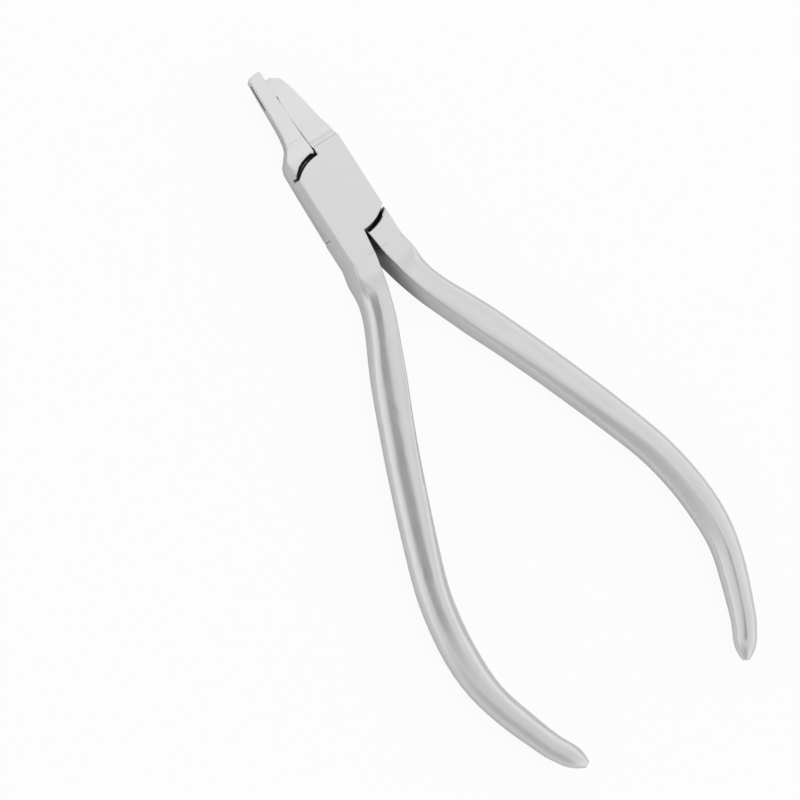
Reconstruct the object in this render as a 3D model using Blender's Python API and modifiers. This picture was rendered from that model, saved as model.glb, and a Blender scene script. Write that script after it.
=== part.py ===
"""Orthodontic punch pliers: two forged halves crossed in a lap joint and held by one pivot screw.

Lengths below are millimetres and are turned into metres when the meshes are made.
The pivot axis is the Z axis, +Y points to the beak tips and the back face lies on z = 0.
"""
import math

import bmesh
import bpy
from mathutils import Matrix, Vector

MILLIMETRE = 0.001

# Lap joint
JOINT_THICKNESS = 7.4
JOINT_HALF_WIDTH = 5.7
FRONT_PLATE_RADIUS = 8.1
FRONT_SHOULDER_GAP = 0.5
BACK_PLATE_SETBACK = 0.05
BACK_SHOULDER_GAP = 0.12
LAP_GAP = 0.16
PARTING_GAP = 0.3
EDGE_CHAMFER = 0.22
PLATE_SIDE_CHAMFER = 0.5
LAP_RIM_CHAMFER = 0.6

# Pivot screw
HEAD_RADIUS = 4.0
HEAD_HEIGHT = 1.7
SHANK_RADIUS = 2.7
THREAD_RADIUS = 2.2
THREAD_WALL = 0.9
SCREW_FIT = 0.15
HEAD_CHAMFER = 0.12

# Long beak with its die window
LONG_BEAK_LENGTH = 26.95
LONG_BEAK_TIP_WIDTH = 3.2
LONG_BEAK_WAIST = 3.6
LONG_BEAK_ROOT_THICKNESS = 6.2
LONG_BEAK_TIP_THICKNESS = 4.1
LONG_BEAK_DRAFT = 12.0
LONG_BEAK_BULGE = 0.1
WINDOW_LENGTH = 5.2
WINDOW_HEIGHT = 2.0
WINDOW_END_WALL = 1.5

# Short beak with its punch blade
SHORT_BEAK_LENGTH = 24.9
SHORT_BEAK_TIP_WIDTH = 3.1
SHORT_BEAK_WAIST = 4.65
SHORT_BEAK_NECK = 3.85
SHORT_BEAK_ROOT_THICKNESS = 5.0
BLADE_LENGTH = 3.1
BLADE_ROOT_THICKNESS = 1.4
BLADE_TIP_THICKNESS = 1.1
BLADE_REACH = 0.4
NOTCH_DEPTH = 0.42
NOTCH_LENGTH = 1.4
BEAK_HOLLOW = 0.05

# Step from the joint down to the beaks
STEP_START = 9.4
STEP_LENGTH = 2.2

# Handles
ROOT_LENGTH = 12.5
ROOT_INNER_FLARE = 0.55
HANDLE_INNER_EDGE = 0.6
HANDLE_START_INSET = 0.8
HANDLE_START_WIDTH = JOINT_HALF_WIDTH - HANDLE_START_INSET
HANDLE_ROOT_WIDTH = JOINT_HALF_WIDTH - HANDLE_INNER_EDGE
HANDLE_SHANK_WIDTH = 5.0
HANDLE_GRIP_WIDTH = 6.2
HANDLE_GRIP_THICKNESS = 6.2
HANDLE_NECK_WIDTH = 5.2
HANDLE_NECK_THICKNESS = 5.4
HANDLE_TAIL_WIDTH = 4.7
HANDLE_END_WIDTH = 4.4
HANDLE_END_THICKNESS = 4.4
HANDLE_END_TAPER = 4.8
HANDLE_END_FLAT = 0.32
HANDLE_END_CURVE = 2.2
HANDLE_CENTRELINE = (
    ((JOINT_HALF_WIDTH + PARTING_GAP) / 2, -10.5),
    ((JOINT_HALF_WIDTH + HANDLE_INNER_EDGE) / 2, -12.5),
    (3.8, -15.5),
    (4.75, -19.6),
    (6.35, -24.3),
    (9.5, -31.0),
    (13.05, -38.7),
    (17.7, -49.4),
    (22.75, -62.2),
    (26.3, -72.9),
    (27.9, -83.9),
    (27.2, -93.7),
    (23.1, -105.5),
    (21.15, -109.25),
)

# Fineness of the round stretches
ARC_STEPS = 14
CURVE_STEPS = 5
ROUND_SEGMENTS = 64
HANDLE_STATIONS = 56
STATION_CROWDING = 1.35
END_STEPS = 6
SLIVER = 0.003
SHORT_EDGE = 0.09
CUT_OVERRUN = 2.0
CHAMFER_ANGLE = 40.0
SMOOTH_ANGLE = 30.0

HALF_THICKNESS = JOINT_THICKNESS / 2
FRONT_SHOULDER_RADIUS = FRONT_PLATE_RADIUS + FRONT_SHOULDER_GAP
BACK_PLATE_RADIUS = FRONT_SHOULDER_RADIUS - BACK_PLATE_SETBACK
BACK_SHOULDER_RADIUS = BACK_PLATE_RADIUS + BACK_SHOULDER_GAP
LAP_REACH = max(FRONT_SHOULDER_RADIUS, BACK_SHOULDER_RADIUS)
PLATE_THICKNESS = HALF_THICKNESS - LAP_GAP / 2
THREAD_END = JOINT_THICKNESS - THREAD_WALL - SCREW_FIT

# Handle section down its length, as (place along Y, size) pairs
HANDLE_WIDTHS = (
    (-10.5, HANDLE_START_WIDTH),
    (-12.5, HANDLE_ROOT_WIDTH),
    (-21.0, HANDLE_SHANK_WIDTH),
    (-36.0, HANDLE_GRIP_WIDTH),
    (-84.0, HANDLE_GRIP_WIDTH - 0.1),
    (-97.0, HANDLE_NECK_WIDTH),
    (-106.0, HANDLE_TAIL_WIDTH),
    (-109.25, HANDLE_END_WIDTH),
)
HANDLE_THICKNESSES = (
    (-10.5, JOINT_THICKNESS - 0.4),
    (-12.0, JOINT_THICKNESS),
    (-15.0, JOINT_THICKNESS),
    (-20.0, JOINT_THICKNESS - 0.4),
    (-45.0, HANDLE_GRIP_THICKNESS),
    (-75.0, HANDLE_GRIP_THICKNESS - 0.2),
    (-100.0, HANDLE_NECK_THICKNESS),
    (-109.25, HANDLE_END_THICKNESS),
)

# The same for the corners of the section, as shares of its half width and half thickness
CREST_INNER = ((-15.0, -0.94), (-30.0, -0.84), (-50.0, -0.6), (-75.0, -0.3), (-112.0, -0.2))
CREST_OUTER = ((-15.2, 0.9), (-19.4, 0.0), (-55.0, -0.05), (-75.0, 0.0), (-112.0, 0.1))
KNEE_PLACE = ((-15.2, 0.94), (-19.4, 0.64), (-55.0, 0.62), (-75.0, 0.64), (-112.0, 0.6))
KNEE_HEIGHT = ((-15.2, 0.97), (-19.4, 0.84), (-55.0, 0.78), (-75.0, 0.8), (-112.0, 0.82))
INNER_SIDE = ((-15.0, 0.94), (-50.0, 0.72), (-75.0, 0.5), (-112.0, 0.5))
OUTER_SIDE = ((-15.4, 0.94), (-21.0, 0.5), (-60.0, 0.34), (-112.0, 0.42))
CORNER_SHARES = ((-15.0, 0.08), (-30.0, 0.3), (-112.0, 0.33))


def clear_scene():
    for item in list(bpy.data.objects):
        bpy.data.objects.remove(item, do_unlink=True)


def make_collection(name):
    collection = bpy.data.collections.new(name)
    bpy.context.scene.collection.children.link(collection)
    return collection


def make_steel(name, colour, roughness):
    material = bpy.data.materials.new(name)
    material.use_nodes = True
    shader = material.node_tree.nodes["Principled BSDF"]
    shader.inputs["Base Color"].default_value = (*colour, 1.0)
    shader.inputs["Metallic"].default_value = 1.0
    shader.inputs["Roughness"].default_value = roughness
    material.diffuse_color = (*colour, 1.0)
    return material


def arc_points(radius, start, end, steps=ARC_STEPS):
    """Points on an arc about the pivot, both ends included."""
    angles = [start + (end - start) * step / steps for step in range(steps + 1)]
    return [(radius * math.cos(angle), radius * math.sin(angle)) for angle in angles]


def smooth_points(knots, steps=CURVE_STEPS):
    """Catmull-Rom curve through the knots, both ends included."""
    count = len(knots)
    dimension = len(knots[0])
    points = []
    for index in range(count - 1):
        before = knots[max(index - 1, 0)]
        start = knots[index]
        end = knots[index + 1]
        after = knots[min(index + 2, count - 1)]
        for step in range(steps):
            t = step / steps
            point = []
            for axis in range(dimension):
                a, b, c, d = before[axis], start[axis], end[axis], after[axis]
                slope = (c - a) * t + (2 * a - 5 * b + 4 * c - d) * t * t
                point.append(0.5 * (2 * b + slope + (3 * b - a - 3 * c + d) * t ** 3))
            points.append(tuple(point))
    points.append(tuple(knots[-1]))
    return points


def extruded_outline(name, outline, low, high, collection, across_x=False):
    """Closed outline as a filled 2D curve, extruded from low to high and made a mesh.

    The outline lies in the XY plane, or in the YZ plane with across_x.
    """
    curve = bpy.data.curves.new(name + "_curve", "CURVE")
    curve.dimensions = "2D"
    curve.fill_mode = "BOTH"
    curve.extrude = (high - low) / 2 * MILLIMETRE
    spline = curve.splines.new("POLY")
    spline.points.add(len(outline) - 1)
    for point, (u, v) in zip(spline.points, outline):
        point.co = (u * MILLIMETRE, v * MILLIMETRE, 0.0, 1.0)
    spline.use_cyclic_u = True
    guide = bpy.data.objects.new(name + "_curve", curve)
    middle = (low + high) / 2 * MILLIMETRE
    if across_x:
        stand = Matrix(((0, 0, 1, middle), (1, 0, 0, 0), (0, 1, 0, 0), (0, 0, 0, 1)))
    else:
        stand = Matrix.Translation((0.0, 0.0, middle))
    guide.matrix_world = stand
    collection.objects.link(guide)
    bpy.context.view_layer.update()
    evaluated = guide.evaluated_get(bpy.context.evaluated_depsgraph_get())
    mesh = bpy.data.meshes.new_from_object(evaluated)
    mesh.name = name
    mesh.transform(stand)
    bpy.data.objects.remove(guide, do_unlink=True)
    return welded_object(name, mesh, collection)


def welded_object(name, mesh, collection):
    body = bmesh.new()
    body.from_mesh(mesh)
    bmesh.ops.remove_doubles(body, verts=body.verts, dist=0.00001)
    bmesh.ops.recalc_face_normals(body, faces=body.faces)
    body.to_mesh(mesh)
    body.free()
    solid = bpy.data.objects.new(name, mesh)
    collection.objects.link(solid)
    return solid


def turned_solid(name, profile, collection):
    """Solid of revolution about the pivot axis; the profile runs from its top down to its foot."""
    mesh = bpy.data.meshes.new(name)
    corners = [(radius * MILLIMETRE, 0.0, height * MILLIMETRE) for radius, height in profile]
    edges = [(index, index + 1) for index in range(len(corners) - 1)]
    mesh.from_pydata(corners, edges, [])
    solid = bpy.data.objects.new(name, mesh)
    collection.objects.link(solid)
    screw = solid.modifiers.new("turn", "SCREW")
    screw.axis = "Z"
    screw.angle = math.tau
    screw.steps = ROUND_SEGMENTS
    screw.render_steps = ROUND_SEGMENTS
    screw.use_merge_vertices = True
    screw.merge_threshold = 0.00001
    return applied(solid)


def applied(solid):
    """The same object with its modifiers applied."""
    bpy.context.view_layer.update()
    evaluated = solid.evaluated_get(bpy.context.evaluated_depsgraph_get())
    mesh = bpy.data.meshes.new_from_object(evaluated)
    solid.modifiers.clear()
    solid.data = mesh
    return solid


def combine(solid, tool, operation, collection):
    """Apply one exact Boolean and keep its tool as a hidden cutter."""
    modifier = solid.modifiers.new(operation.lower(), "BOOLEAN")
    modifier.operation = operation
    modifier.solver = "EXACT"
    modifier.object = tool
    applied(solid)
    weld_slivers(solid)
    hide_cutter(tool, collection)


def weld_slivers(solid):
    """Merge the corners that a cut leaves closer together than any real edge."""
    body = bmesh.new()
    body.from_mesh(solid.data)
    bmesh.ops.remove_doubles(body, verts=body.verts, dist=SLIVER * MILLIMETRE)
    bmesh.ops.dissolve_degenerate(body, edges=body.edges, dist=SLIVER * MILLIMETRE)
    body.to_mesh(solid.data)
    body.free()


def weld_short_edges(solid):
    """Collapse edges too short to leave room for the edge chamfer."""
    body = bmesh.new()
    body.from_mesh(solid.data)
    short = [edge for edge in body.edges if edge.calc_length() < SHORT_EDGE * MILLIMETRE]
    bmesh.ops.collapse(body, edges=short)
    body.to_mesh(solid.data)
    body.free()


def hide_cutter(tool, collection):
    for owner in list(tool.users_collection):
        owner.objects.unlink(tool)
    collection.objects.link(tool)
    tool.hide_render = True
    tool.display_type = "WIRE"


def long_beak_outline():
    """Outer side, tip and inner side of the long beak, from the joint side round to the lap corner."""
    inner = PARTING_GAP / 2
    tip = LONG_BEAK_LENGTH
    bulge = JOINT_HALF_WIDTH + LONG_BEAK_BULGE
    step_end = STEP_START + STEP_LENGTH
    free = tip - step_end
    flare = bulge - LONG_BEAK_WAIST
    outer = smooth_points([
        (JOINT_HALF_WIDTH, STEP_START - STEP_LENGTH / 2),
        (bulge, STEP_START + STEP_LENGTH * 0.1),
        (bulge - flare * 0.25, STEP_START + STEP_LENGTH * 0.6),
        (LONG_BEAK_WAIST + flare * 0.3, step_end + free * 0.03),
        (LONG_BEAK_WAIST + flare * 0.08, step_end + free * 0.16),
        (LONG_BEAK_WAIST - 0.05, step_end + free * 0.33),
        (LONG_BEAK_TIP_WIDTH + 0.15, tip - free * 0.27),
        (LONG_BEAK_TIP_WIDTH, tip - free * 0.05),
    ])
    end = smooth_points([
        (LONG_BEAK_TIP_WIDTH - 0.45, tip - 0.25),
        (LONG_BEAK_TIP_WIDTH / 2, tip - 0.03),
        (inner + 0.12, tip),
    ], 3)
    return outer + end + [(inner, tip - 0.12)]


def short_beak_outline():
    """Outer side, tip, blade, notch and hollowed inner side of the short beak."""
    inner = PARTING_GAP / 2
    tip = SHORT_BEAK_LENGTH
    step_end = STEP_START + STEP_LENGTH
    blade_root = tip - BLADE_LENGTH
    notch_root = blade_root - NOTCH_LENGTH
    free = blade_root - step_end
    taper = JOINT_HALF_WIDTH - SHORT_BEAK_WAIST
    outer = smooth_points([
        (JOINT_HALF_WIDTH, STEP_START - STEP_LENGTH * 0.1),
        (JOINT_HALF_WIDTH - taper * 0.15, step_end),
        (SHORT_BEAK_WAIST + taper * 0.35, step_end + free * 0.25),
        (SHORT_BEAK_WAIST, step_end + free * 0.55),
        (SHORT_BEAK_NECK, blade_root),
        (SHORT_BEAK_TIP_WIDTH, tip - BLADE_LENGTH * 0.35),
    ])
    end = [(SHORT_BEAK_TIP_WIDTH / 2, tip), (0.2 - BLADE_REACH, tip), (-BLADE_REACH, tip - 0.4)]
    notch = [(-BLADE_REACH, blade_root), (inner + NOTCH_DEPTH, blade_root - NOTCH_LENGTH * 0.4)]
    hollow = smooth_points([
        (inner + NOTCH_DEPTH * 0.7, notch_root),
        (inner + BEAK_HOLLOW, notch_root - free * 0.25),
        (inner + BEAK_HOLLOW, step_end + free * 0.3),
        (inner, STEP_START + STEP_LENGTH / 2),
    ], 3)
    return outer + end + notch + hollow


def joint_outline(beak, plate_radius):
    """Plan of one half from beak to handle root, with its plate as an arc about the pivot."""
    inner = PARTING_GAP / 2
    side = JOINT_HALF_WIDTH
    corner = math.acos(side / plate_radius)
    lap = math.asin(inner / plate_radius)
    front_arc = arc_points(plate_radius, math.pi / 2 - lap, math.pi - corner)
    back_arc = arc_points(plate_radius, 1.5 * math.pi - lap, math.tau - corner)
    foot = -ROOT_LENGTH
    root = [(-side, foot), (-inner - ROOT_INNER_FLARE, foot), (-inner - 0.05, -LAP_REACH)]
    return beak + front_arc + root + back_arc


def long_beak_profile():
    """Side view of the half with the long beak; its plate side is on top."""
    middle = HALF_THICKNESS
    tip = LONG_BEAK_LENGTH + CUT_OVERRUN
    step_end = STEP_START + STEP_LENGTH
    root = LONG_BEAK_ROOT_THICKNESS / 2
    end = LONG_BEAK_TIP_THICKNESS / 2
    flare = smooth_points([
        (tip, middle - end),
        (step_end + 3.0, middle - root + 0.25),
        (step_end + 0.8, middle - root - 0.05),
        (step_end - 0.4, (middle - root) * 0.45),
        (STEP_START, 0.0),
    ], 4)
    top = [(STEP_START + 1.4, JOINT_THICKNESS), (step_end + 0.6, middle + root), (tip, middle + end)]
    foot = -ROOT_LENGTH - CUT_OVERRUN
    return flare + [(foot, 0.0), (foot, JOINT_THICKNESS)] + top


def short_beak_profile():
    """Side view of the half with the short beak, stepped below its plate and drawn to a thin blade."""
    middle = HALF_THICKNESS
    tip = SHORT_BEAK_LENGTH
    step_end = STEP_START + STEP_LENGTH
    root = SHORT_BEAK_ROOT_THICKNESS / 2
    drop = middle - root
    blade = BLADE_ROOT_THICKNESS / 2
    end = BLADE_TIP_THICKNESS / 2
    blade_root = tip - BLADE_LENGTH - 0.3
    free = blade_root - step_end
    step = smooth_points([
        (STEP_START, JOINT_THICKNESS),
        (STEP_START + STEP_LENGTH * 0.3, JOINT_THICKNESS - drop * 0.6),
        (STEP_START + STEP_LENGTH * 0.7, JOINT_THICKNESS - drop * 0.93),
        (step_end, middle + root),
    ], 4)
    slope = smooth_points([
        (step_end + free * 0.08, middle + root - (root - blade) * 0.1),
        (step_end + free * 0.45, middle + blade + (root - blade) * 0.42),
        (blade_root, middle + blade),
        (tip + CUT_OVERRUN, middle + end),
    ], 4)
    upper = step + slope
    lower = [(along, JOINT_THICKNESS - height) for along, height in reversed(upper)]
    foot = -ROOT_LENGTH - CUT_OVERRUN
    return upper + lower + [(foot, 0.0), (foot, JOINT_THICKNESS)]


def blend(knots, value):
    """Value between (position, value) knots, eased so that it has no kinks."""
    if value >= knots[0][0]:
        return knots[0][1]
    for (start, first), (end, last) in zip(knots, knots[1:]):
        if value >= end:
            share = (start - value) / (start - end)
            eased = share * share * (3 - 2 * share)
            return first + (last - first) * eased
    return knots[-1][1]


def handle_section(along):
    """Corners of the handle's section at one place, as (outward, up) pairs running round it.

    The crest is a flat beside a rounded outer shoulder; the section starts as a full rectangle
    at the root, keeps its crest to the inner edge along the shank and moves it to the middle in
    the grip.
    """
    width = blend(HANDLE_WIDTHS, along) / 2
    height = blend(HANDLE_THICKNESSES, along) / 2
    crest_inner = blend(CREST_INNER, along) * width
    crest_outer = blend(CREST_OUTER, along) * width
    inner_side = blend(INNER_SIDE, along) * height
    outer_side = blend(OUTER_SIDE, along) * height
    knee = blend(KNEE_PLACE, along) * width
    knee_height = blend(KNEE_HEIGHT, along) * height
    corners = [
        (width, -outer_side),
        (width, outer_side),
        (knee, knee_height),
        (crest_outer, height),
        (crest_inner, height),
        (-width, inner_side),
        (-width, -inner_side),
        (crest_inner, -height),
        (crest_outer, -height),
        (knee, -knee_height),
    ]
    return rounded_corners(corners, blend(CORNER_SHARES, along))


def rounded_corners(corners, share):
    """Each corner replaced by two points and a soft middle one, a share of the way to its neighbours."""
    points = []
    count = len(corners)
    for index, corner in enumerate(corners):
        here = Vector(corner)
        before = Vector(corners[index - 1])
        after = Vector(corners[(index + 1) % count])
        entry = here.lerp(before, share)
        leave = here.lerp(after, share)
        middle = (entry + leave + 2 * here) / 4
        points += [entry, middle, leave]
    return points


def handle_stations():
    """Centre and heading of each station down the handle, closer together near the root."""
    path = [Vector(point) for point in smooth_points(HANDLE_CENTRELINE, 8)]
    lengths = [0.0]
    for first, second in zip(path, path[1:]):
        lengths.append(lengths[-1] + (second - first).length)
    stations = []
    for step in range(HANDLE_STATIONS + 1):
        wanted = lengths[-1] * (step / HANDLE_STATIONS) ** STATION_CROWDING
        index = 0
        while index < len(path) - 2 and lengths[index + 1] < wanted:
            index += 1
        share = (wanted - lengths[index]) / (lengths[index + 1] - lengths[index])
        centre = path[index].lerp(path[index + 1], share)
        before = path[max(index - 1, 0)]
        after = path[min(index + 2, len(path) - 1)]
        heading = (after - before).normalized()
        stations.append((centre, heading))
    return stations


def handle_loft(name, collection):
    """Lofted handle on the -X side, from inside the root to the tapered end."""
    rings = []
    stations = handle_stations()
    for centre, heading in stations:
        outward = Vector((-heading.y, heading.x))
        rings.append([
            (centre + outward * out, up) for out, up in handle_section(centre.y)
        ])
    centre, heading = stations[-1]
    outward = Vector((-heading.y, heading.x))
    for step in range(1, END_STEPS + 1):
        share = step / END_STEPS
        end = centre + heading * HANDLE_END_TAPER * share
        shrink = 1 - (1 - HANDLE_END_FLAT) * share ** HANDLE_END_CURVE
        rings.append([
            (end + outward * out * shrink, up * shrink) for out, up in handle_section(centre.y)
        ])
    body = bmesh.new()
    loops = []
    for ring in rings:
        loop = []
        for place, up in ring:
            height = (HALF_THICKNESS + up) * MILLIMETRE
            loop.append(body.verts.new((-place.x * MILLIMETRE, place.y * MILLIMETRE, height)))
        loops.append(loop)
    for first, second in zip(loops, loops[1:]):
        for index in range(len(first)):
            follow = (index + 1) % len(first)
            body.faces.new((first[index], first[follow], second[follow], second[index]))
    body.faces.new(loops[0])
    body.faces.new(list(reversed(loops[-1])))
    bmesh.ops.recalc_face_normals(body, faces=body.faces)
    mesh = bpy.data.meshes.new(name)
    body.to_mesh(mesh)
    body.free()
    loft = bpy.data.objects.new(name, mesh)
    collection.objects.link(loft)
    return loft


def lap_recess(name, shoulder_radius, collection):
    """Cutter for the half-thickness recess that takes the other half's plate, with a chamfered rim."""
    floor = PLATE_THICKNESS + LAP_GAP
    return turned_solid(name, [
        (0.0, floor),
        (shoulder_radius, floor),
        (shoulder_radius, LAP_RIM_CHAMFER),
        (shoulder_radius + LAP_RIM_CHAMFER + 1.0, -1.0),
        (0.0, -1.0),
    ], collection)


def bevel_edges(solid, width):
    modifier = solid.modifiers.new("edge_chamfer", "BEVEL")
    modifier.width = width * MILLIMETRE
    modifier.segments = 2
    modifier.limit_method = "ANGLE"
    modifier.angle_limit = math.radians(CHAMFER_ANGLE)
    modifier.use_clamp_overlap = True
    return applied(solid)


def side_chamfer_wedge(name, collection):
    """Cutter that takes the wide chamfer off the plate face's outer edge, up to the beak."""
    side = JOINT_HALF_WIDTH
    top = JOINT_THICKNESS
    corners = [
        (side - PLATE_SIDE_CHAMFER - CUT_OVERRUN, top + CUT_OVERRUN),
        (side + CUT_OVERRUN, top - PLATE_SIDE_CHAMFER - CUT_OVERRUN),
        (side + CUT_OVERRUN, top + CUT_OVERRUN),
    ]
    reach = STEP_START + STEP_LENGTH
    ends = [[(x * MILLIMETRE, y * MILLIMETRE, z * MILLIMETRE) for x, z in corners] for y in (-reach, reach)]
    faces = [(0, 1, 2), (5, 4, 3), (0, 3, 4, 1), (1, 4, 5, 2), (2, 5, 3, 0)]
    mesh = bpy.data.meshes.new(name)
    mesh.from_pydata(ends[0] + ends[1], [], faces)
    return welded_object(name, mesh, collection)


def draft_outer_side(solid, angle):
    """Lean the beak's outer side inwards, from its lower edge up, ahead of the joint."""
    lean = math.tan(math.radians(angle))
    start = (STEP_START - STEP_LENGTH) * MILLIMETRE
    ease_length = 1.5 * STEP_LENGTH * MILLIMETRE
    full_width = (LONG_BEAK_TIP_WIDTH - 0.5) * MILLIMETRE
    for vertex in solid.data.vertices:
        place = vertex.co
        ease = min(max((place.y - start) / ease_length, 0.0), 1.0)
        share = min(max(place.x / full_width, 0.0), 1.0)
        place.x -= lean * max(place.z, 0.0) * ease * share
    solid.data.update()


def forged_half(name, outline, profile, shoulder_radius, draft, parts, cutters):
    """One half with its plate on top, its beak at +X and its handle at -X."""
    reach = JOINT_HALF_WIDTH + CUT_OVERRUN
    half = extruded_outline(name, outline, -1.0, JOINT_THICKNESS + 1.0, parts)
    side_view = extruded_outline(name + "_side_view", profile, -reach, reach, parts, across_x=True)
    combine(half, side_view, "INTERSECT", cutters)
    weld_short_edges(half)
    draft_outer_side(half, draft)
    bevel_edges(half, EDGE_CHAMFER)
    combine(half, handle_loft(name + "_handle", parts), "UNION", cutters)
    combine(half, lap_recess(name + "_recess", shoulder_radius, parts), "DIFFERENCE", cutters)
    return half


def turn_over(solid):
    """Turn a half about the Y axis through its middle, so that its plate lies below."""
    middle = Matrix.Translation((0.0, 0.0, HALF_THICKNESS * MILLIMETRE))
    solid.data.transform(middle @ Matrix.Rotation(math.pi, 4, "Y") @ middle.inverted())


def window_cutter(collection):
    low = LONG_BEAK_LENGTH - WINDOW_END_WALL - WINDOW_LENGTH
    bpy.ops.mesh.primitive_cube_add(size=1.0)
    window = bpy.context.object
    window.name = "die_window"
    centre = (-LONG_BEAK_TIP_WIDTH / 2, low + WINDOW_LENGTH / 2, HALF_THICKNESS)
    size = (3 * LONG_BEAK_TIP_WIDTH, WINDOW_LENGTH, WINDOW_HEIGHT)
    window.data.transform(Matrix.Diagonal((*[side * MILLIMETRE for side in size], 1.0)))
    window.data.transform(Matrix.Translation([place * MILLIMETRE for place in centre]))
    for owner in list(window.users_collection):
        owner.objects.unlink(window)
    collection.objects.link(window)
    return window


def make_front_half(parts, cutters):
    outline = joint_outline(short_beak_outline(), FRONT_PLATE_RADIUS)
    profile = short_beak_profile()
    half = forged_half("front_half", outline, profile, BACK_SHOULDER_RADIUS, 0.0, parts, cutters)
    thread = turned_solid("thread_hole", [
        (0.0, JOINT_THICKNESS - THREAD_WALL),
        (THREAD_RADIUS + SCREW_FIT, JOINT_THICKNESS - THREAD_WALL),
        (THREAD_RADIUS + SCREW_FIT, 0.0),
        (0.0, 0.0),
    ], parts)
    combine(half, thread, "DIFFERENCE", cutters)
    return half


def make_back_half(parts, cutters):
    outline = joint_outline(long_beak_outline(), BACK_PLATE_RADIUS)
    profile = long_beak_profile()
    draft = LONG_BEAK_DRAFT
    half = forged_half("back_half", outline, profile, FRONT_SHOULDER_RADIUS, draft, parts, cutters)
    combine(half, side_chamfer_wedge("side_chamfer", parts), "DIFFERENCE", cutters)
    turn_over(half)
    combine(half, window_cutter(parts), "DIFFERENCE", cutters)
    bore = turned_solid("pivot_bore", [
        (0.0, JOINT_THICKNESS),
        (SHANK_RADIUS + SCREW_FIT, JOINT_THICKNESS),
        (SHANK_RADIUS + SCREW_FIT, HEAD_HEIGHT + SCREW_FIT),
        (HEAD_RADIUS + SCREW_FIT, HEAD_HEIGHT + SCREW_FIT),
        (HEAD_RADIUS + SCREW_FIT, -1.0),
        (0.0, -1.0),
    ], parts)
    combine(half, bore, "DIFFERENCE", cutters)
    return half


def make_pivot_screw(parts):
    """Flush flat head, plain shank in the back half and thread end in the front half."""
    return turned_solid("pivot_screw", [
        (0.0, THREAD_END),
        (THREAD_RADIUS - HEAD_CHAMFER, THREAD_END),
        (THREAD_RADIUS, THREAD_END - HEAD_CHAMFER),
        (THREAD_RADIUS, PLATE_THICKNESS),
        (SHANK_RADIUS, PLATE_THICKNESS),
        (SHANK_RADIUS, HEAD_HEIGHT),
        (HEAD_RADIUS, HEAD_HEIGHT),
        (HEAD_RADIUS, HEAD_CHAMFER),
        (HEAD_RADIUS - HEAD_CHAMFER, 0.0),
        (0.0, 0.0),
    ], parts)


def finish(solid, material):
    solid.data.materials.clear()
    solid.data.materials.append(material)
    solid.data.shade_smooth()
    solid.data.set_sharp_from_angle(angle=math.radians(SMOOTH_ANGLE))


def main():
    clear_scene()
    parts = make_collection("orthodontic_pliers")
    cutters = make_collection("cutters")
    front_half = make_front_half(parts, cutters)
    back_half = make_back_half(parts, cutters)
    pivot_screw = make_pivot_screw(parts)
    finish(front_half, make_steel("satin_steel_front", (0.66, 0.66, 0.67), 0.34))
    finish(back_half, make_steel("satin_steel_back", (0.66, 0.66, 0.67), 0.34))
    finish(pivot_screw, make_steel("ground_steel", (0.7, 0.7, 0.71), 0.26))


main()
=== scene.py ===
import math
import bmesh
import bpy
from mathutils import Matrix, Vector


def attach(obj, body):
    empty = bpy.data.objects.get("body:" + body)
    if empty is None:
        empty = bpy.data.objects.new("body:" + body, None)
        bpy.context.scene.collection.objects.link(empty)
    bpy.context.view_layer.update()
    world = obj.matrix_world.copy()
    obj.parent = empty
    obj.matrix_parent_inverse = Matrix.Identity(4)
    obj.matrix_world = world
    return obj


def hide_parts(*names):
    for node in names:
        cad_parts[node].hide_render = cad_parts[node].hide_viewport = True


print("loading the packed pliers")
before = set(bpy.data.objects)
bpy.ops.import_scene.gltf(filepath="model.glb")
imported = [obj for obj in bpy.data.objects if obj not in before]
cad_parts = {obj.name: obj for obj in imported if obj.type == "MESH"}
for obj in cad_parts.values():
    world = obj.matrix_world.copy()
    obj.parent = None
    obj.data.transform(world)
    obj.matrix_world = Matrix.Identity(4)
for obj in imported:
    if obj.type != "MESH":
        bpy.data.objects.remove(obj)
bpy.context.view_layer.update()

view = {
    "tilt": 19.0,  # degrees that the camera leans towards -X
    "rollCosine": 0.8415,  # turn of the pliers in the picture
    "rollSine": 0.5402,
    "anchor": (0.0, 0.0, 0.0074),  # middle of the joint's front face
    "anchorPixel": (341, 192),
    "pictureSize": 800,
    "metresPerPixel": 0.0001845,
    "lens": 500.0,
    "sensor": 36.0,
    "clipStart": 0.05,
    "clipEnd": 50.0,
}


def makeCamera(settings):
    tilt = math.radians(settings["tilt"])
    back = Vector((-math.sin(tilt), 0.0, math.cos(tilt)))
    acrossJoint = Vector((math.cos(tilt), 0.0, math.sin(tilt)))
    alongJoint = Vector((0.0, 1.0, 0.0))
    right = acrossJoint * settings["rollCosine"] - alongJoint * settings["rollSine"]
    up = acrossJoint * settings["rollSine"] + alongJoint * settings["rollCosine"]
    half = settings["pictureSize"] / 2
    pixel = settings["metresPerPixel"]
    column, row = settings["anchorPixel"]
    aside = right * (half - column) * pixel + up * (row - half) * pixel
    centre = Vector(settings["anchor"]) + aside
    distance = half * pixel / (settings["sensor"] / 2 / settings["lens"])
    data = bpy.data.cameras.new("photoCamera")
    data.lens = settings["lens"]
    data.sensor_width = settings["sensor"]
    data.clip_start = settings["clipStart"]
    data.clip_end = settings["clipEnd"]
    camera = bpy.data.objects.new("photoCamera", data)
    bpy.context.scene.collection.objects.link(camera)
    turn = Matrix((right, up, back)).transposed().to_4x4()
    camera.matrix_world = Matrix.Translation(centre + back * distance) @ turn
    bpy.context.scene.camera = camera


print("setting the camera")
makeCamera(view)


def addNode(tree, kind, place, **settings):
    node = tree.nodes.new(kind)
    node.location = place
    for name, value in settings.items():
        setattr(node, name, value)
    return node


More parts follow.
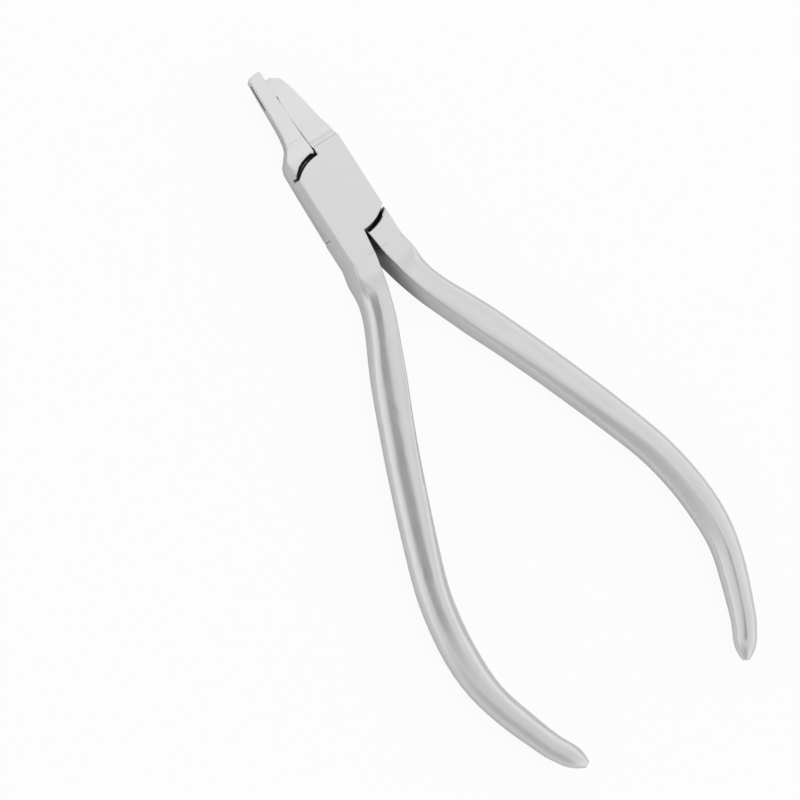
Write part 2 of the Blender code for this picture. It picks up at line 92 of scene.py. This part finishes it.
def mapRange(tree, source, place, given, wanted, smooth=False):
    node = addNode(tree, "ShaderNodeMapRange", place)
    if smooth:
        node.interpolation_type = "SMOOTHSTEP"
    node.inputs["From Min"].default_value, node.inputs["From Max"].default_value = given
    node.inputs["To Min"].default_value, node.inputs["To Max"].default_value = wanted
    tree.links.new(source, node.inputs["Value"])
    return node.outputs["Result"]


def mathNode(tree, operation, first, second, place):
    node = addNode(tree, "ShaderNodeMath", place, operation=operation)
    for socket, value in zip(node.inputs, (first, second)):
        if isinstance(value, (int, float)):
            socket.default_value = value
        else:
            tree.links.new(value, socket)
    return node.outputs["Value"]


tent = {
    "horizon": 1.1,  # brightness of the white tent at its foot
    "zenith": 0.82,  # and overhead
    "zenithHeight": 0.8,  # sine of the height where the overhead part starts
    "lensGap": {  # dark opening beside the lens
        "towards": (-0.27, 0.24, 0.93),
        "inner": 6.0,  # degrees from its middle
        "outer": 20.0,
        "depth": 0.55,
    },
    "sideCard": {  # dark card beyond the open side of the handles
        "towards": (-0.78, -0.57, 0.26),
        "inner": 15.0,
        "outer": 55.0,
        "depth": 0.38,
    },
}


def makeWorld(settings):
    world = bpy.data.worlds.new("studioTent")
    bpy.context.scene.world = world
    world.use_nodes = True
    tree = world.node_tree
    background = tree.nodes["Background"]
    direction = addNode(tree, "ShaderNodeTexCoord", (-1000, 0)).outputs["Generated"]
    parts = addNode(tree, "ShaderNodeSeparateXYZ", (-800, 120))
    tree.links.new(direction, parts.inputs["Vector"])
    rise = (0.0, settings["zenithHeight"])
    cloth = (settings["horizon"], settings["zenith"])
    light = mapRange(tree, parts.outputs["Z"], (-600, 120), rise, cloth)
    for name, height in (("lensGap", -120), ("sideCard", -420)):
        spot = settings[name]
        nearness = addNode(tree, "ShaderNodeVectorMath", (-800, height), operation="DOT_PRODUCT")
        nearness.inputs[1].default_value = spot["towards"]
        tree.links.new(direction, nearness.inputs[0])
        rim = (math.cos(math.radians(spot["outer"])), math.cos(math.radians(spot["inner"])))
        fade = (1.0, 1.0 - spot["depth"])
        share = mapRange(tree, nearness.outputs["Value"], (-600, height), rim, fade, True)
        light = mathNode(tree, "MULTIPLY", light, share, (-400, height))
    colour = addNode(tree, "ShaderNodeCombineColor", (-200, 0))
    for socket in colour.inputs:
        tree.links.new(light, socket)
    tree.links.new(colour.outputs["Color"], background.inputs["Color"])
    background.inputs["Strength"].default_value = 1.0


paleFloor = {
    "size": 3.0,
    "drop": 0.00004,  # below the back face that the pliers lie on
    "colour": 0.9,
    "colourSpread": 0.01,
    "fibreScale": 900.0,
    "roughness": 0.9,
    "specular": 0.1,
    "whiteSeen": 0.93,  # share of plain white that the lens sees
    "whiteMirrored": 0.16,  # and that the steel mirrors
}


def makeFloor(settings):
    shape = bmesh.new()
    bmesh.ops.create_grid(shape, x_segments=2, y_segments=2, size=settings["size"] / 2)
    bmesh.ops.translate(shape, verts=shape.verts, vec=(0.0, 0.0, -settings["drop"]))
    mesh = bpy.data.meshes.new("paleFloor")
    shape.to_mesh(mesh)
    shape.free()
    floor = bpy.data.objects.new("paleFloor", mesh)
    bpy.context.scene.collection.objects.link(floor)
    material = bpy.data.materials.new("paleFloor")
    material.use_nodes = True
    tree = material.node_tree
    paper = tree.nodes["Principled BSDF"]
    paper.location = (-200, 200)
    paper.inputs["Roughness"].default_value = settings["roughness"]
    paper.inputs["Specular IOR Level"].default_value = settings["specular"]
    place = addNode(tree, "ShaderNodeTexCoord", (-1000, 300)).outputs["Object"]
    fibre = addNode(tree, "ShaderNodeTexNoise", (-800, 300))
    fibre.inputs["Scale"].default_value = settings["fibreScale"]
    tree.links.new(place, fibre.inputs["Vector"])
    shade = addNode(tree, "ShaderNodeValToRGB", (-560, 300))
    pale = settings["colour"]
    dull = pale - settings["colourSpread"]
    shade.color_ramp.elements[0].color = (dull, dull, dull, 1.0)
    shade.color_ramp.elements[1].color = (pale, pale, pale, 1.0)
    tree.links.new(fibre.outputs["Fac"], shade.inputs["Fac"])
    tree.links.new(shade.outputs["Color"], paper.inputs["Base Color"])
    white = addNode(tree, "ShaderNodeEmission", (-200, -100))
    white.inputs["Color"].default_value = (1.0, 1.0, 1.0, 1.0)
    rays = addNode(tree, "ShaderNodeLightPath", (-1000, -200)).outputs
    whiteSeen, whiteMirrored = settings["whiteSeen"], settings["whiteMirrored"]
    seen = mathNode(tree, "MULTIPLY", rays["Is Camera Ray"], whiteSeen, (-760, -120))
    mirrored = mathNode(tree, "MULTIPLY", rays["Is Glossy Ray"], whiteMirrored, (-760, -300))
    share = mathNode(tree, "MAXIMUM", seen, mirrored, (-400, -200))
    mix = addNode(tree, "ShaderNodeMixShader", (100, 100))
    tree.links.new(share, mix.inputs["Fac"])
    tree.links.new(paper.outputs["BSDF"], mix.inputs[1])
    tree.links.new(white.outputs["Emission"], mix.inputs[2])
    output = next(node for node in tree.nodes if node.type == "OUTPUT_MATERIAL")
    tree.links.new(mix.outputs["Shader"], output.inputs["Surface"])
    floor.data.materials.append(material)


softBox = {
    "place": (0.5, 0.35, 1.1),
    "size": 0.7,
    "power": 0.38,
}


def makeKeyLight(settings):
    data = bpy.data.lights.new("softBox", "AREA")
    data.shape = "SQUARE"
    data.size = settings["size"]
    data.energy = settings["power"]
    lamp = bpy.data.objects.new("softBox", data)
    bpy.context.scene.collection.objects.link(lamp)
    lamp.location = settings["place"]
    lamp.rotation_mode = "QUATERNION"
    lamp.rotation_quaternion = Vector(settings["place"]).to_track_quat("Z", "Y")


print("setting the studio")
makeWorld(tent)
makeFloor(paleFloor)
makeKeyLight(softBox)
bpy.context.scene.view_settings.view_transform = "Standard"

satinSteel = {
    "colour": (0.715, 0.717, 0.722),
    "cloudScale": (160.0, 160.0, 160.0),  # soft patches of the hand polish
    "cloudDetail": 3.0,
    "cloudRange": (0.3, 0.7),
    "cloudDepth": 0.02,
    "brushScale": (3400.0, 260.0, 3400.0),  # long fine strokes down the handles
    "brushDetail": 4.0,
    "brushRange": (0.25, 0.75),
    "brushDepth": 0.01,
    "grainScale": (7000.0, 7000.0, 7000.0),  # blasted grain
    "grainDetail": 2.0,
    "grainShare": 0.6,
    "roughness": 0.25,
    "roughnessSpread": 0.035,
    "roughnessRange": (0.7, 1.3),
    "bumpStrength": 0.015,
    "bumpDepth": 0.00001,
    "edgeRadius": 0.00022,
    "edgeSamples": 6,
    "edgeTurn": (0.995, 0.93),  # cosines between which an edge turns bright
    "edgeColour": (0.8, 0.802, 0.806),
    "edgeRoughness": 0.2,
    # painted shade: ambient occlusion darkens the steel's colour in gaps, in crevices and between
    # the halves
    "paintedShadeReach": 0.009,  # painted shade: how wide a gap or crevice still gets darkened
    "paintedShadeSamples": 8,
    "paintedShadeRange": (0.14, 0.56),  # open share of the sky where the painted shade in a gap is darkest, and where it stops
    "paintedShadeTone": 0.2,
}


def makeSteel(name, finish):
    material = bpy.data.materials.new(name)
    material.use_nodes = True
    tree = material.node_tree
    shader = tree.nodes["Principled BSDF"]
    shader.inputs["Metallic"].default_value = 1.0
    place = addNode(tree, "ShaderNodeTexCoord", (-1800, 0)).outputs["Object"]

    def noise(kind, height):
        mapping = addNode(tree, "ShaderNodeMapping", (-1600, height))
        mapping.inputs["Location"].default_value = finish["offset"]
        mapping.inputs["Scale"].default_value = finish[kind + "Scale"]
        tree.links.new(place, mapping.inputs["Vector"])
        texture = addNode(tree, "ShaderNodeTexNoise", (-1400, height))
        texture.inputs["Scale"].default_value = 1.0
        texture.inputs["Detail"].default_value = finish[kind + "Detail"]
        tree.links.new(mapping.outputs["Vector"], texture.inputs["Vector"])
        return texture.outputs["Fac"]

    def around(kind, source, height):
        depth = finish[kind + "Depth"]
        swing = (1.0 - depth, 1.0 + depth)
        return mapRange(tree, source, (-1200, height), finish[kind + "Range"], swing)

    cloud = noise("cloud", 500)
    brush = noise("brush", 100)
    grain = noise("grain", -300)

    rounded = addNode(tree, "ShaderNodeBevel", (-1600, -700), samples=finish["edgeSamples"])
    rounded.inputs["Radius"].default_value = finish["edgeRadius"]
    faceNormal = addNode(tree, "ShaderNodeNewGeometry", (-1600, -900)).outputs["Normal"]
    facing = addNode(tree, "ShaderNodeVectorMath", (-1400, -800), operation="DOT_PRODUCT")
    tree.links.new(rounded.outputs["Normal"], facing.inputs[0])
    tree.links.new(faceNormal, facing.inputs[1])
    turn = facing.outputs["Value"]
    edge = mapRange(tree, turn, (-1200, -800), finish["edgeTurn"], (0.0, 1.0))

    patches = around("cloud", cloud, 500)
    strokes = around("brush", brush, 100)
    tone = mathNode(tree, "MULTIPLY", patches, strokes, (-1000, 300))
    # painted shade: ambient occlusion darkens the colour in gaps and crevices
    sky = addNode(tree, "ShaderNodeAmbientOcclusion", (-1200, 700), samples=finish["paintedShadeSamples"])
    sky.inputs["Distance"].default_value = finish["paintedShadeReach"]
    darkening = (finish["paintedShadeTone"], 1.0)
    paintedShade = mapRange(tree, sky.outputs["AO"], (-1000, 700), finish["paintedShadeRange"], darkening)
    tinted = addNode(tree, "ShaderNodeVectorMath", (-800, 300), operation="SCALE")
    tinted.inputs[0].default_value = finish["colour"]
    shaded = mathNode(tree, "MULTIPLY", tone, paintedShade, (-900, 500))
    tree.links.new(shaded, tinted.inputs["Scale"])
    worn = addNode(tree, "ShaderNodeMix", (-500, 300), data_type="RGBA")
    worn.inputs["B"].default_value = (*finish["edgeColour"], 1.0)
    tree.links.new(edge, worn.inputs["Factor"])
    tree.links.new(tinted.outputs["Vector"], worn.inputs["A"])
    tree.links.new(worn.outputs["Result"], shader.inputs["Base Color"])

    spread = finish["roughnessSpread"]
    limits = (finish["roughness"] - spread, finish["roughness"] + spread)
    rubbed = mathNode(tree, "ADD", cloud, brush, (-1200, -100))
    matt = mapRange(tree, rubbed, (-1000, -100), finish["roughnessRange"], limits)
    shine = addNode(tree, "ShaderNodeMix", (-500, 0), data_type="FLOAT")
    shine.inputs["B"].default_value = finish["edgeRoughness"]
    tree.links.new(edge, shine.inputs["Factor"])
    tree.links.new(matt, shine.inputs["A"])
    tree.links.new(shine.outputs["Result"], shader.inputs["Roughness"])

    coarse = mathNode(tree, "MULTIPLY", grain, finish["grainShare"], (-1200, -300))
    bump = addNode(tree, "ShaderNodeBump", (-500, -300))
    bump.inputs["Strength"].default_value = finish["bumpStrength"]
    bump.inputs["Distance"].default_value = finish["bumpDepth"]
    height = mathNode(tree, "ADD", coarse, brush, (-1000, -300))
    tree.links.new(height, bump.inputs["Height"])
    tree.links.new(rounded.outputs["Normal"], bump.inputs["Normal"])
    tree.links.new(bump.outputs["Normal"], shader.inputs["Normal"])
    return material


forging = {
    "mergeDistance": 0.000002,
    "flatAngle": 0.4,  # degrees below which neighbouring faces are one
    "sharpAngle": 28.0,
    "flatWeight": 80,
}


def dressedCopy(nodeName, pieceName, settings):
    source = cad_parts[nodeName]
    shape = bmesh.new()
    shape.from_mesh(source.data)
    bmesh.ops.remove_doubles(shape, verts=shape.verts, dist=settings["mergeDistance"])
    bmesh.ops.dissolve_limit(
        shape,
        angle_limit=math.radians(settings["flatAngle"]),
        verts=shape.verts,
        edges=shape.edges,
    )
    mesh = bpy.data.meshes.new(pieceName)
    shape.to_mesh(mesh)
    shape.free()
    mesh.shade_smooth()
    mesh.set_sharp_from_angle(angle=math.radians(settings["sharpAngle"]))
    piece = bpy.data.objects.new(pieceName, mesh)
    bpy.context.scene.collection.objects.link(piece)
    flats = piece.modifiers.new("flatFaces", "WEIGHTED_NORMAL")
    flats.keep_sharp = True
    flats.weight = settings["flatWeight"]
    return piece


print("dressing the front half")
frontFinish = dict(satinSteel, offset=(0.0, 0.0, 0.0))
frontHalf = dressedCopy("front_half", "frontHalfSteel", forging)
frontHalf.data.materials.append(makeSteel("satinSteelFront", frontFinish))
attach(frontHalf, "front")
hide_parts("front_half")

print("dressing the back half")
backFinish = dict(satinSteel, offset=(3.1, 1.7, 0.4))
backHalf = dressedCopy("back_half", "backHalfSteel", forging)
backHalf.data.materials.append(makeSteel("satinSteelBack", backFinish))
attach(backHalf, "back")
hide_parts("back_half")

print("dressing the pivot screw")
screwFinish = dict(
    satinSteel,
    offset=(1.3, 4.2, 2.0),
    roughness=0.24,
    brushScale=(3200.0, 3200.0, 900.0),
    grainScale=(9000.0, 9000.0, 9000.0),
)
pivotScrew = dressedCopy("pivot_screw", "pivotScrewSteel", forging)
pivotScrew.data.materials.append(makeSteel("groundSteel", screwFinish))
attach(pivotScrew, "front")
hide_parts("pivot_screw")
